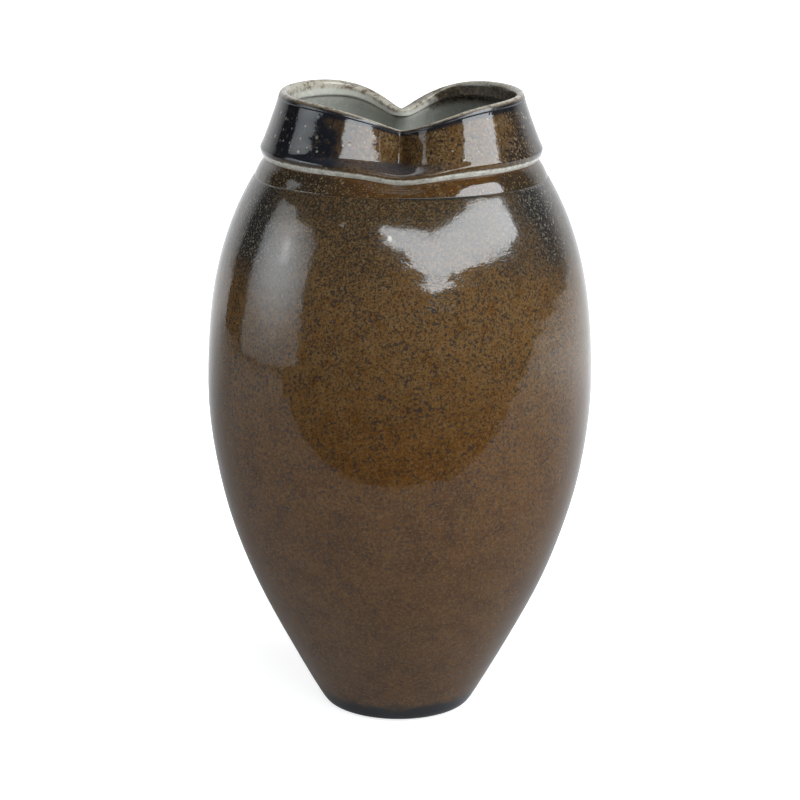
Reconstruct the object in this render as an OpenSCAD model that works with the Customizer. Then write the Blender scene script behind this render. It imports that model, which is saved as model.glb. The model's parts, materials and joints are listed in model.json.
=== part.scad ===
// Thrown stoneware vase: an egg-shaped body on a narrow foot, and a separately thrown collar
// that is set on its neck and squeezed front and back, so that the mouth is heart-shaped.
// +Z is up, the foot rests on Z = 0 and the squeezed valleys of the collar face -Y and +Y.

/* [Body outline, over the glaze] */
// Radius of the belly at its widest
belly_r = 79.3; // [76:0.1:86]
// Height of the widest place
belly_z = 143.3; // [135:0.1:152]
// Radius where the shoulder meets the seam under the collar
shoulder_r = 59.7; // [58.5:0.1:62]
// Angle of the shoulder there, from upright
shoulder_angle = 32.5; // [28:0.5:38]
// How far the curve of the shoulder pulls at the seam
shoulder_pull = 22; // [14:1:28]
// How far the curve of the belly pulls upwards
belly_pull_up = 36.8; // [28:0.1:44]
// How far the curve of the belly pulls downwards
belly_pull_down = 55.8; // [45:0.1:62]
// How far the straight taper above the foot pulls
taper_pull = 50.8; // [40:0.1:58]
// Angle of the taper above the foot, from upright
taper_angle = 30.1; // [27:0.1:33]

/* [Foot] */
// Outer radius of the face that the vase rests on
foot_r = 25.3; // [24:0.1:30]
// Radius of the rounded edge between the foot and the taper
foot_round = 7.75; // [5:0.05:9]
// Width of the turned foot ring
foot_ring_w = 5.8; // [4:0.1:8]
// Depth of the hollow inside the foot ring
foot_hollow = 2.5; // [1:0.1:3.5]

/* [Clay] */
// Thickness of the body's wall
wall = 5.4; // [4:0.1:7]
// Height of the floor inside the body
floor_z = 9.5; // [8:0.1:12]
// Thickness of the outer glaze
glaze = 0.5; // [0.3:0.05:0.8]
// Thickness of the glaze inside the body
liner = 0.4; // [0.3:0.05:0.8]
// Thickness of the slip that glues the collar to the neck
slip = 0.6; // [0.4:0.1:1]

/* [Collar] */
// Overall height of the vase, to the top of the rim
height = 260; // [256:0.5:266]
// Height of the sharp lower edge of the collar
edge_z = 233; // [232:0.1:234.5]
// Radius of the sharp lower edge
edge_r = 55.4; // [54.5:0.1:56.5]
// Radius of the bead above that edge
bead_r = 57.25; // [56.8:0.05:59]
// Outer radius of the rim before it is squeezed
rim_r = 49.75; // [48.5:0.05:51.5]
// Thickness of the lip
lip = 3.7; // [3.2:0.1:4.4]
// Depth of the thick band inside the lip
lip_band = 5.8; // [4:0.1:8]
// How far each side of the rim is squeezed in
squeeze_rim = 18.1; // [14:0.1:20]
// How far the wall above the bead is squeezed in
squeeze_wall = 18.9; // [14:0.1:20]
// How far the bead is squeezed in
squeeze_bead = 3.6; // [1:0.1:4]
// How much flatter than a circle the two lobes of the rim are
lobe_flat = 1.2; // [0:0.1:3]
// How far the rim drops in the valleys
drop_rim = 11.6; // [6:0.1:12]
// How far the lower edge drops in the valleys
drop_edge = 3.2; // [1:0.1:3.4]
// Width at the rim of a valley's -X side, as a share of the radius
valley_left = 0.715; // [0.6:0.005:0.8]
// Width at the rim of a valley's +X side
valley_right = 0.575; // [0.5:0.005:0.7]
// Width at the rim of the drop's -X side, as a share of the radius
drop_left = 0.71; // [0.6:0.01:0.8]
// Width at the rim of the drop's +X side
drop_right = 0.74; // [0.6:0.01:0.8]
// Slope of the rim towards -Y
rim_lean = 0.016; // [0:0.002:0.03]

/* [Hidden] */

$fn = 96;
// Steps along each curve of the body
CURVE_STEPS = 16;
// Steps round the rounded edge of the foot
ROUND_STEPS = 5;
// Angle, below the horizontal, where the glaze stops on that edge
GLAZE_STOP = 60;
// Points round the collar, drawn together towards the valleys by CROWDING degrees
AROUND = 72;
CROWDING = 11.5;

// The neck ring of the body that carries the collar
neck_z = 228.4;
neck_in = 46.5;
neck_out = 50.5;
shoulder_z = 226;
collar_z = neck_z + slip;
// Where the inside of the body turns in to the neck
neck_throat_z = neck_z - 3;

// Heights between which the squeezed wall leaves the bead outside, and the neck inside
ledge_z = [edge_z + 3.6, edge_z + 7.1];
throat_z = [collar_z + 0.2, collar_z + 4.9];
// The centre line of a squeeze lies this far inside the collar's outer face
LINE_IN = 1;
// Power that makes most of the drop come near the rim
DROP_POWER = 1.8;
// Widths of a valley and of its drop at the lower edge, on the -X and on the +X side
VALLEY_FOOT = [0.835, 0.43];
DROP_FOOT = [0.49, 0.51];
// Powers that say how steeply a valley and its drop begin
VALLEY_POWER = 6.4;
FALL_POWER = 3.8;
// How far the seam's rounded face pulls, inwards and up, as it leaves the shoulder
SEAM_LOW = [1.5, 2.5];
// How far it pulls, outwards and down, as it reaches the collar's lower edge
SEAM_HIGH = [2.8, 3.1];

clay_brown = "#6b4a2f";
slip_grey = "#8d8577";
amber = "#7a5a36";
iron_brown = "#5d4429";
iron_black = "#2f2b2a";
celadon = "#a9a797";

// ---------- curves ----------

function bezier(p, t) =
    pow(1 - t, 3) * p[0] + 3 * pow(1 - t, 2) * t * p[1]
    + 3 * (1 - t) * t * t * p[2] + pow(t, 3) * p[3];
function bezier_way(p, t) =
    pow(1 - t, 2) * (p[1] - p[0]) + 2 * (1 - t) * t * (p[2] - p[1])
    + t * t * (p[3] - p[2]);
// The point at t, moved a distance d to the right of the way the curve runs
function beside(p, t, d) =
    let (way = bezier_way(p, t))
    bezier(p, t) + d * [way[1], -way[0]] / norm(way);
function smooth(x) =
    let (c = max(0, min(1, x)))
    c * c * (3 - 2 * c);

// ---------- body outline ----------

round_c = [foot_r + 0.5, foot_round];
taper_0 = round_c + foot_round * [cos(taper_angle), -sin(taper_angle)];
taper_way = [sin(taper_angle), cos(taper_angle)];
belly = [belly_r, belly_z];
shoulder = [shoulder_r, shoulder_z];
shoulder_way = [sin(shoulder_angle), -cos(shoulder_angle)];
lower_curve = [
    taper_0, taper_0 + taper_pull * taper_way, belly - [0, belly_pull_down], belly
];
upper_curve = [
    belly, belly + [0, belly_pull_up], shoulder + shoulder_pull * shoulder_way, shoulder
];

// The body's outline from the foot to the seam, a distance d inside the glazed surface
function outline(d) = concat(
    [
        for (k = [0 : ROUND_STEPS - 1])
            let (a = -GLAZE_STOP + (GLAZE_STOP - taper_angle) * k / ROUND_STEPS)
            round_c + (foot_round - d) * [cos(a), sin(a)]
    ],
    [for (k = [0 : CURVE_STEPS - 1]) beside(lower_curve, k / CURVE_STEPS, -d)],
    [for (k = [0 : CURVE_STEPS]) beside(upper_curve, k / CURVE_STEPS, -d)]
);
// The body's inside from the neck down to the floor, a distance d inside the glazed surface
// and f above the clay of the floor
function inside(d, f) =
    let (
        side = [
            for (k = [CURVE_STEPS - 1 : -1 : 0]) beside(upper_curve, k / CURVE_STEPS, -d)
        ],
        low = [
            for (k = [CURVE_STEPS - 1 : -1 : 1]) beside(lower_curve, k / CURVE_STEPS, -d)
        ],
        last = low[len(low) - 1],
        ground = floor_z + f,
        corner = [last[0] - (last[1] - ground) * tan(taper_angle), ground],
        turn = [last, (last + 2 * corner) / 3, corner - [corner[0] / 4, 0], [corner[0] / 2, ground]]
    )
    concat(side, low, [for (k = [1 : 6]) bezier(turn, k / 6)], [[0, ground]]);

module body() {
    color(clay_brown)
        rotate_extrude()
            polygon(concat(
                [
                    [0, foot_hollow], [foot_r - foot_ring_w - 1, foot_hollow],
                    [foot_r - foot_ring_w, 0], [foot_r, 0]
                ],
                outline(glaze),
                [[neck_out, neck_z], [neck_in, neck_z], [neck_in, neck_throat_z]],
                inside(glaze + wall, 0)
            ));
}

module joint_slip() {
    color(slip_grey)
        translate([0, 0, neck_z])
            difference() {
                cylinder(h = slip, r = neck_out);
                translate([0, 0, -1])
                    cylinder(h = slip + 2, r = neck_in);
            }
}

module body_glaze() {
    outer = outline(0);
    inner = outline(glaze);
    color(iron_brown)
        rotate_extrude()
            polygon(concat(outer, [for (k = [len(inner) - 1 : -1 : 0]) inner[k]]));
}

module body_liner() {
    clay = concat([[neck_in, neck_z], [neck_in, neck_throat_z]], inside(glaze + wall, 0));
    face = concat(
        [[neck_in - liner, neck_z], [neck_in - liner, neck_throat_z - liner]],
        inside(glaze + wall + liner, liner)
    );
    color(celadon)
        rotate_extrude()
            polygon(concat(clay, [for (k = [len(face) - 1 : -1 : 0]) face[k]]));
}

// ---------- squeezed collar ----------

// Angles round the collar, closer together in the valleys
turns = [
    for (i = [0 : AROUND - 1])
        let (u = 360 * i / AROUND)
        u + CROWDING * sin(2 * u)
];

// Width of a valley towards the angle a, a share s of the way up from its foot to its rim
function width(a, s, foot, left, right) =
    cos(a) < 0 ? foot[0] + (left - foot[0]) * s : foot[1] + (right - foot[1]) * s;
// 1 in the middle of a valley, falling to almost 0 at the two ends of the mouth
function bell(a, s) =
    let (w = width(a, s, VALLEY_FOOT, valley_left, valley_right))
    pow(1 + pow(cos(a) / w, 2), -VALLEY_POWER);
// The same for the drop, which falls to exactly 0
function drop_bell(a, s) =
    let (
        w = width(a, s, DROP_FOOT, drop_left, drop_right),
        at_end = pow(1 + 1 / (w * w), -FALL_POWER)
    )
    (pow(1 + pow(cos(a) / w, 2), -FALL_POWER) - at_end) / (1 - at_end);

// Share of the way up from the lower edge to the rim
function up(z) = max(0, (z - edge_z) / (height - edge_z));
// How far a valley is squeezed in at height z, for a face that leaves its base between zs
function squeeze(z, base, zs) =
    base + (squeeze_wall - base) * smooth((z - zs[0]) / (zs[1] - zs[0]))
    + (squeeze_rim - squeeze_wall) * up(z);
function drop(z) = drop_edge + (drop_rim - drop_edge) * pow(up(z), DROP_POWER);

// Centre line of the squeezed wall: a circle of radius r less its two valleys
function line_at(a, r, s, push) =
    (r - push * bell(a, s) - lobe_flat * s * pow(sin(a), 2)) * [cos(a), sin(a)];
// A point a distance d outside that line, dropped by fall
function wall_at(a, r, d, z, push, fall) =
    let (
        s = up(z),
        c = line_at(a, r, s, push),
        way = line_at(a + 0.5, r, s, push) - line_at(a - 0.5, r, s, push),
        n = [way[1], -way[0]] / norm(way)
    )
    [
        c[0] + d * n[0],
        c[1] + d * n[1],
        z - fall * drop_bell(a, s) + rim_lean * s * c[1]
    ];

rim_turn = [rim_r, height - 2.4];
crest = [rim_r - lip / 2 + 0.1, height];
lip_in = [rim_r - lip, height - 2.1];
lip_foot = [rim_r - lip, height - lip_band];
bead = [bead_r, edge_z + 4.4];
waist = [bead_r - 1.6, edge_z + 8.3];
edge_curve = [[edge_r, edge_z], [edge_r + 1, edge_z + 1.3], bead - [0, 1.7], bead];
bead_curve = [bead, bead + [0, 0.5], waist + [1, -2.5], waist];
cone_curve = [waist, waist + [-1.8, 4.5], rim_turn + [1.35, -4.5], rim_turn];
crest_curve = [rim_turn, rim_turn + [-0.3, 1.1], crest + [1, 0], crest];
lip_curve = [crest, crest - [1, 0], lip_in + [0.05, 1.3], lip_in];

// Side outline of the collar's glazed faces, as [radius, height], before the squeeze
outer_side = concat(
    [for (t = [0, 0.5, 0.8]) bezier(edge_curve, t)],
    [for (t = [0, 0.12, 0.24, 0.4, 0.7]) bezier(bead_curve, t)],
    [for (t = [0, 0.35, 0.7]) bezier(cone_curve, t)],
    [for (t = [0, 0.35, 0.7]) bezier(crest_curve, t)]
);
inner_side = concat(
    [for (t = [0, 0.3, 0.65, 1]) bezier(lip_curve, t)],
    [
        lip_foot, lip_foot + [1.7, -1.5], lip_foot + [3.3, -6], [52, 242.5],
        [52.3, 239], [52, 236.3], [51, 234.2], [49.6, 232.3], [48, 230.6],
        [neck_in - liner, collar_z]
    ]
);
// Number of rows that the collar's outer glaze covers: it stops where the rim turns over
GLAZED = 12;

function outer_row(p) = [
    for (a = turns)
        wall_at(
            a, p[0] - LINE_IN, LINE_IN, p[1],
            squeeze(p[1], squeeze_bead, ledge_z), drop(p[1])
        )
];
function inner_row(p) =
    let (fade = smooth((p[1] - collar_z) / 8), line_r = p[0] + (lip - LINE_IN) * fade)
    [
        for (a = turns)
            wall_at(
                a, line_r, p[0] - line_r, p[1],
                squeeze(p[1], 0, throat_z), drop(p[1]) * fade
            )
    ];
function circle_row(r, z) = [for (a = turns) [r * cos(a), r * sin(a), z]];

face_rows = concat([for (p = outer_side) outer_row(p)], [for (p = inner_side) inner_row(p)]);
LAST = len(face_rows) - 1;

// Outward direction of the glazed face at row j, point i
function face_normal(j, i) =
    let (
        above = face_rows[min(LAST, j + 1)][i],
        below = face_rows[max(0, j - 1)][i],
        ahead = face_rows[j][(i + 1) % AROUND],
        behind = face_rows[j][(i + AROUND - 1) % AROUND],
        n = cross(ahead - behind, above - below)
    )
    n / norm(n);
// The clay lies one coat of glaze inside the glazed face, and its last row is the neck's circle
clay_rows = [
    for (j = [0 : LAST])
        j == LAST
            ? circle_row(neck_in, collar_z)
            : [for (i = [0 : AROUND - 1]) face_rows[j][i] - glaze * face_normal(j, i)]
];
foot_row = circle_row(neck_out, collar_z);

// Triangles between the rows a and b of a solid's points, seen from outside or from inside
function band(a, b, outside) = [
    for (i = [0 : AROUND - 1], half = [0, 1])
        let (
            m = (i + 1) % AROUND,
            tri = half == 0
                ? [a * AROUND + i, a * AROUND + m, b * AROUND + m]
                : [a * AROUND + i, b * AROUND + m, b * AROUND + i]
        )
        outside ? [tri[2], tri[1], tri[0]] : tri
];
function flat_list(rows) = [for (row = rows) for (p = row) p];

// A ring whose section is the closed loop of its rows
module ring(rows) {
    n = len(rows);
    polyhedron(
        points = flat_list(rows),
        faces = [for (j = [0 : n - 1]) for (f = band(j, (j + 1) % n, true)) f]
    );
}

// A coat between its face rows and the clay rows under them
module coat(face, clay) {
    n = len(face);
    polyhedron(
        points = flat_list(concat(face, clay)),
        faces = concat(
            [for (j = [0 : n - 2]) for (f = band(j, j + 1, true)) f],
            [for (j = [0 : n - 2]) for (f = band(n + j, n + j + 1, false)) f],
            band(n, 0, true),
            band(2 * n - 1, n - 1, false)
        )
    );
}

module collar() {
    color(clay_brown)
        ring(concat([foot_row], clay_rows));
}

module collar_glaze() {
    color(iron_black)
        coat(
            [for (j = [0 : GLAZED - 1]) face_rows[j]],
            [for (j = [0 : GLAZED - 1]) clay_rows[j]]
        );
}

// The liner's last face row goes down over the slip, to the top of the body's liner
module collar_liner() {
    color(celadon)
        coat(
            concat(
                [for (j = [GLAZED - 1 : LAST]) face_rows[j]],
                [circle_row(neck_in - liner, neck_z)]
            ),
            concat(
                [for (j = [GLAZED - 1 : LAST]) clay_rows[j]],
                [circle_row(neck_in, neck_z)]
            )
        );
}

// ---------- seam under the collar ----------

SEAM_ROWS = 5;
// A polygon round the collar has its corners this much outside the body's true circle
corner_out = 1 / cos((360 / AROUND + 2 * CROWDING * 360 / AROUND * PI / 180) / 2);
shoulder_clay = shoulder - glaze * [cos(shoulder_angle), sin(shoulder_angle)];

// Rows of the seam's rounded face, from a circle on the shoulder up to the collar's lower edge
function seam_rows(start, edge_row) = [
    for (k = [0 : SEAM_ROWS])
        [
            for (i = [0 : AROUND - 1])
                let (
                    out = [cos(turns[i]), sin(turns[i]), 0],
                    low = start[0] * out + [0, 0, start[1]],
                    above = low - SEAM_LOW[0] * out + [0, 0, SEAM_LOW[1]],
                    below = edge_row[i] + SEAM_HIGH[0] * out - [0, 0, SEAM_HIGH[1]]
                )
                bezier([low, above, below, edge_row[i]], k / SEAM_ROWS)
        ]
];
seam_face = seam_rows([shoulder[0] * corner_out, shoulder[1]], face_rows[0]);
seam_clay = seam_rows([shoulder_clay[0] * corner_out, shoulder_clay[1]], clay_rows[0]);

module seam_coil() {
    color(clay_brown)
        ring(concat(
            [circle_row(neck_out * corner_out, neck_z)],
            seam_clay,
            [foot_row]
        ));
}

module seam_glaze() {
    color(amber)
        coat(seam_face, seam_clay);
}

body();
joint_slip();
collar();
seam_coil();
body_glaze();
seam_glaze();
collar_glaze();
body_liner();
collar_liner();
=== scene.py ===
"""Glazed stoneware vase: a thrown egg-shaped body with a squeezed, separately thrown collar.

Lengths are millimetres in the shape functions and become metres when a mesh is made.
+Z is up, the foot rests on Z = 0 and the squeezed valleys of the collar face -Y and +Y.
"""
import json
import math

import bpy
import numpy as np
from mathutils import Matrix


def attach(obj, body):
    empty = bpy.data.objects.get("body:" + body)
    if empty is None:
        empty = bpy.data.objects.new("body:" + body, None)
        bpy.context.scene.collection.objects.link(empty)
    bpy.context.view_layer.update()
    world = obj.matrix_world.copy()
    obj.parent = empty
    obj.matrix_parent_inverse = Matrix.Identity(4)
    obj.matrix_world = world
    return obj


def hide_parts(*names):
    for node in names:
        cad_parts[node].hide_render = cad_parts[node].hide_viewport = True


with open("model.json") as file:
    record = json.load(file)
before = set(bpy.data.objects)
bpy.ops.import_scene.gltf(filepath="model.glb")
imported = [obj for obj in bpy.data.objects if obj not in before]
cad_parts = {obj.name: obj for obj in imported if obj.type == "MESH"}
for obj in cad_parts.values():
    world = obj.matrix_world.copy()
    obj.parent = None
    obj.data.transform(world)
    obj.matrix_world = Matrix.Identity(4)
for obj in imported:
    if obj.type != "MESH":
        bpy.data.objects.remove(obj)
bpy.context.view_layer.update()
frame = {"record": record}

MM = 0.001

# ---------------------------------------------------------------- sizes, as the design gives them

BELLY = np.array([79.3, 143.3])
BELLY_PULL_UP = 36.8
BELLY_PULL_DOWN = 55.8
SHOULDER = np.array([59.7, 226.0])
SHOULDER_ANGLE = math.radians(32.5)
SHOULDER_PULL = 22.0
TAPER_ANGLE = math.radians(30.1)
TAPER_PULL = 50.8
FOOT_R = 25.3
FOOT_ROUND = 7.75
FOOT_RING_W = 5.8
FOOT_HOLLOW = 2.5
GLAZE_STOP = math.radians(60)

WALL = 5.4
FLOOR_Z = 9.5
GLAZE = 0.5
LINER = 0.4
SLIP = 0.6

HEIGHT = 260.0
EDGE_Z = 233.0
EDGE_R = 55.4
BEAD_R = 57.25
RIM_R = 49.75
LIP = 3.7
LIP_BAND = 5.8
SQUEEZE_RIM = 18.1
SQUEEZE_WALL = 18.9
SQUEEZE_BEAD = 3.6
LOBE_FLAT = 1.2
DROP_RIM = 11.6
DROP_EDGE = 3.2
VALLEY_RIM = (0.715, 0.575)
VALLEY_FOOT = (0.835, 0.43)
VALLEY_POWER = 6.4
FALL_RIM = (0.71, 0.74)
FALL_FOOT = (0.49, 0.51)
FALL_POWER = 3.8
RIM_LEAN = 0.016

NECK_Z = 228.4
NECK_IN = 46.5
NECK_OUT = 50.5
NECK_THROAT_Z = NECK_Z - 3.0
COLLAR_Z = NECK_Z + SLIP
LEDGE_Z = (EDGE_Z + 3.6, EDGE_Z + 7.1)
THROAT_Z = (COLLAR_Z + 0.2, COLLAR_Z + 4.9)
LINE_IN = 1.0
DROP_POWER = 1.8
SEAM_LOW = (1.5, 2.5)
SEAM_HIGH = (2.8, 3.1)
CROWDING = math.radians(11.5)

BODY_AROUND = 320
COLLAR_AROUND = 560


# ---------------------------------------------------------------- curves and grids

def bezier(points, t):
    """Cubic Bezier curve through four [radius, height] points, at every t of an array."""
    p0, p1, p2, p3 = (np.asarray(p, float) for p in points)
    t = np.asarray(t, float)[:, None]
    return (1 - t) ** 3 * p0 + 3 * (1 - t) ** 2 * t * p1 + 3 * (1 - t) * t * t * p2 + t ** 3 * p3


def chain(curves, counts):
    """Points along Bezier curves joined end to end, each joint given once."""
    parts = [bezier(c, np.linspace(0, 1, n, endpoint=False)) for c, n in zip(curves, counts)]
    return np.vstack(parts + [np.asarray(curves[-1][3], float)[None]])


def beside(side, d):
    """A side outline moved d towards its left: each point goes along the outline's own normal."""
    way = np.gradient(side, axis=0)
    way /= np.linalg.norm(way, axis=1)[:, None]
    return side + d * np.stack([-way[:, 1], way[:, 0]], 1)


def smooth(x):
    """Smooth step: 0 below 0, 1 above 1, and 3x^2 - 2x^3 between."""
    x = np.clip(x, 0, 1)
    return x * x * (3 - 2 * x)


def turned(side, around):
    """Surface of revolution: the side outline's radius and height at equal angles about Z."""
    a = np.linspace(0, 2 * np.pi, around, endpoint=False)[None, :]
    r, z = side[:, :1], side[:, 1:]
    return np.stack([r * np.cos(a), r * np.sin(a), z + 0 * a], -1)


def grid_normals(rows):
    """Outward unit normals of a grid that closes round Z: the way round crossed with the way up."""
    round_way = np.roll(rows, -1, 1) - np.roll(rows, 1, 1)
    up_way = np.gradient(rows, axis=0)
    n = np.cross(round_way, up_way)
    return n / np.maximum(np.linalg.norm(n, axis=2, keepdims=True), 1e-12)


def raised(rows, height):
    """Every point of the grid moved by height, a number or an array, along the grid's normal."""
    return rows + grid_normals(rows) * np.broadcast_to(height, rows.shape[:2])[..., None]


def angle_of(rows):
    """Angle about Z of every point of a grid."""
    return np.arctan2(rows[..., 1], rows[..., 0])


def hand_waves(rows, seed, size, count=9):
    """Unevenness of a thrown wall: a sum of cosines of whole-numbered angle and of height."""
    rng = np.random.default_rng(seed)
    a, z = angle_of(rows), rows[..., 2]
    total = np.zeros(a.shape)
    for _ in range(count):
        lobes = rng.integers(0, 6)
        pitch = rng.uniform(28, 80)
        total += np.cos(lobes * a + 2 * np.pi * z / pitch + rng.uniform(0, 2 * np.pi))
    return total * size / math.sqrt(count)


def throwing_rings(rows, pitch, size):
    """Spiral finger marks: a wave that climbs one pitch each turn and fades in and out."""
    a, z = angle_of(rows), rows[..., 2]
    fade = 0.6 + 0.4 * np.cos(2 * a + z / 21)
    return size * fade * np.cos(a - 2 * np.pi * z / pitch + 0.8 * np.sin(z / 17))


# ---------------------------------------------------------------- outlines of the body

ROUND_C = np.array([FOOT_R + 0.5, FOOT_ROUND])
TAPER_0 = ROUND_C + FOOT_ROUND * np.array([math.cos(TAPER_ANGLE), -math.sin(TAPER_ANGLE)])
TAPER_WAY = np.array([math.sin(TAPER_ANGLE), math.cos(TAPER_ANGLE)])
SHOULDER_WAY = np.array([math.sin(SHOULDER_ANGLE), -math.cos(SHOULDER_ANGLE)])
LOWER_CURVE = [
    TAPER_0, TAPER_0 + TAPER_PULL * TAPER_WAY, BELLY - [0, BELLY_PULL_DOWN], BELLY
]
UPPER_CURVE = [
    BELLY, BELLY + [0, BELLY_PULL_UP], SHOULDER + SHOULDER_PULL * SHOULDER_WAY, SHOULDER
]


def body_side(steps):
    """Glazed outline of the body: an arc at the foot, then two Bezier curves that meet at the belly."""
    a = np.linspace(-GLAZE_STOP, -TAPER_ANGLE, max(4, steps // 8), endpoint=False)
    arc = ROUND_C + FOOT_ROUND * np.stack([np.cos(a), np.sin(a)], 1)
    return np.vstack([arc, chain([LOWER_CURVE, UPPER_CURVE], [steps, steps])])


def inside_side(d, f, steps):
    """Inside of the body, neck to floor: d inside the glazed outline and f above the floor's clay."""
    wall = beside(chain([LOWER_CURVE, UPPER_CURVE], [steps, steps]), d)[1:-1][::-1]
    last, ground = wall[-1], FLOOR_Z + f
    corner = np.array([last[0] - (last[1] - ground) * math.tan(TAPER_ANGLE), ground])
    turn = [last, (last + 2 * corner) / 3, corner - [corner[0] / 4, 0], [corner[0] / 2, ground]]
    return np.vstack([wall, bezier(turn, np.linspace(0, 1, 9)[1:])])


# ---------------------------------------------------------------- the squeezed collar

def around_angles(count):
    """Angles about Z, drawn together towards the two valleys."""
    u = np.linspace(0, 2 * np.pi, count, endpoint=False)
    return u + CROWDING * np.sin(2 * u)


def valley_width(a, s, foot, rim):
    """Width of a valley on its -X or +X side, a share s of the way up from its foot to its rim."""
    left = foot[0] + (rim[0] - foot[0]) * s
    right = foot[1] + (rim[1] - foot[1]) * s
    return np.where(np.cos(a) < 0, left, right)


def bell(a, s):
    """1 in the middle of a valley, falling to almost 0 at the two ends of the mouth."""
    w = valley_width(a, s, VALLEY_FOOT, VALLEY_RIM)
    return (1 + (np.cos(a) / w) ** 2) ** -VALLEY_POWER


def drop_bell(a, s):
    """As bell, for the drop, and exactly 0 at the ends of the mouth."""
    w = valley_width(a, s, FALL_FOOT, FALL_RIM)
    at_end = (1 + 1 / w ** 2) ** -FALL_POWER
    return ((1 + (np.cos(a) / w) ** 2) ** -FALL_POWER - at_end) / (1 - at_end)


def up_share(z):
    """Share of the way up from the collar's lower edge to the rim."""
    return np.maximum(0, (z - EDGE_Z) / (HEIGHT - EDGE_Z))


def squeeze(z, base, leaves):
    """How far a valley is squeezed in at height z, for a face that leaves its base between two
    heights."""
    step = smooth((z - leaves[0]) / (leaves[1] - leaves[0]))
    return base + (SQUEEZE_WALL - base) * step + (SQUEEZE_RIM - SQUEEZE_WALL) * up_share(z)


def drop(z):
    """How far a valley drops at height z: most of it near the rim."""
    return DROP_EDGE + (DROP_RIM - DROP_EDGE) * up_share(z) ** DROP_POWER


def squeezed(side_r, line_r, z, push, fall, a):
    """Squeezed wall: a circle of radius line_r less its two valleys and a slight flattening, then
    side_r - line_r outwards along that line's normal, dropped by fall in the valleys."""
    s = up_share(z)

    def line(angle):
        r = line_r - push * bell(angle, s) - LOBE_FLAT * s * np.sin(angle) ** 2
        return r * np.cos(angle), r * np.sin(angle)

    step = math.radians(0.5)
    cx, cy = line(a)
    ahead, behind = line(a + step), line(a - step)
    wx, wy = ahead[0] - behind[0], ahead[1] - behind[1]
    length = np.hypot(wx, wy)
    d = side_r - line_r
    height = z - fall * drop_bell(a, s) + RIM_LEAN * s * cy
    return np.stack([cx + d * wy / length, cy - d * wx / length, height + 0 * a], -1)


RIM_TURN = np.array([RIM_R, HEIGHT - 2.4])
CREST = np.array([RIM_R - LIP / 2 + 0.1, HEIGHT])
LIP_IN = np.array([RIM_R - LIP, HEIGHT - 2.1])
LIP_FOOT = np.array([RIM_R - LIP, HEIGHT - LIP_BAND])
BEAD = np.array([BEAD_R, EDGE_Z + 4.4])
WAIST = np.array([BEAD_R - 1.6, EDGE_Z + 8.3])
UNDERCUT = LIP_FOOT + [1.7, -1.5]
HOLLOW = np.array([52.3, 239.0])
EDGE_CURVE = [[EDGE_R, EDGE_Z], [EDGE_R + 1, EDGE_Z + 1.3], BEAD - [0, 1.7], BEAD]
BEAD_CURVE = [BEAD, BEAD + [0, 0.5], WAIST + [1, -2.5], WAIST]
CONE_CURVE = [WAIST, WAIST + [-1.8, 4.5], RIM_TURN + [1.35, -4.5], RIM_TURN]
CREST_CURVE = [RIM_TURN, RIM_TURN + [-0.3, 1.1], CREST + [1, 0], CREST]
LIP_CURVE = [CREST, CREST - [1, 0], LIP_IN + [0.05, 1.3], LIP_IN]
BAND_CURVE = [LIP_IN, LIP_IN - [0, 1.2], LIP_FOOT + [0, 1.2], LIP_FOOT]
UNDERCUT_CURVE = [LIP_FOOT, LIP_FOOT - [0, 0.8], UNDERCUT + [-0.8, 0.35], UNDERCUT]
HOLLOW_CURVE = [UNDERCUT, UNDERCUT + [1.9, -3.6], HOLLOW + [-0.2, 4.5], HOLLOW]
THROAT_CURVE = [
    HOLLOW, HOLLOW + [0.2, -3.5], [NECK_IN - LINER + 3.6, COLLAR_Z + 2.9], [NECK_IN - LINER, COLLAR_Z]
]


def collar_outer(side, a):
    """Outer face of the collar along a side outline."""
    r, z = side[:, :1], side[:, 1:]
    push = squeeze(z, SQUEEZE_BEAD, LEDGE_Z)
    return squeezed(r, r - LINE_IN, z, push, drop(z), a[None, :])


def collar_inner(side, a):
    """Inner face of the collar along a side outline; its squeeze fades out at the neck."""
    r, z = side[:, :1], side[:, 1:]
    fade = smooth((z - COLLAR_Z) / 8)
    push = squeeze(z, 0.0, THROAT_Z)
    return squeezed(r, r + (LIP - LINE_IN) * fade, z, push, drop(z) * fade, a[None, :])


# ---------------------------------------------------------------- meshes

def flat_faces(rows, cols, wrap):
    """Quads of a grid of point numbers that closes round Z. wrap also joins its last row to its
    first."""
    idx = np.arange(rows * cols).reshape(rows, cols)
    low = idx if wrap else idx[:-1]
    high = np.roll(idx, -1, 0) if wrap else idx[1:]
    return np.stack([low, np.roll(low, -1, 1), np.roll(high, -1, 1), high], -1).reshape(-1, 4)


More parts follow.
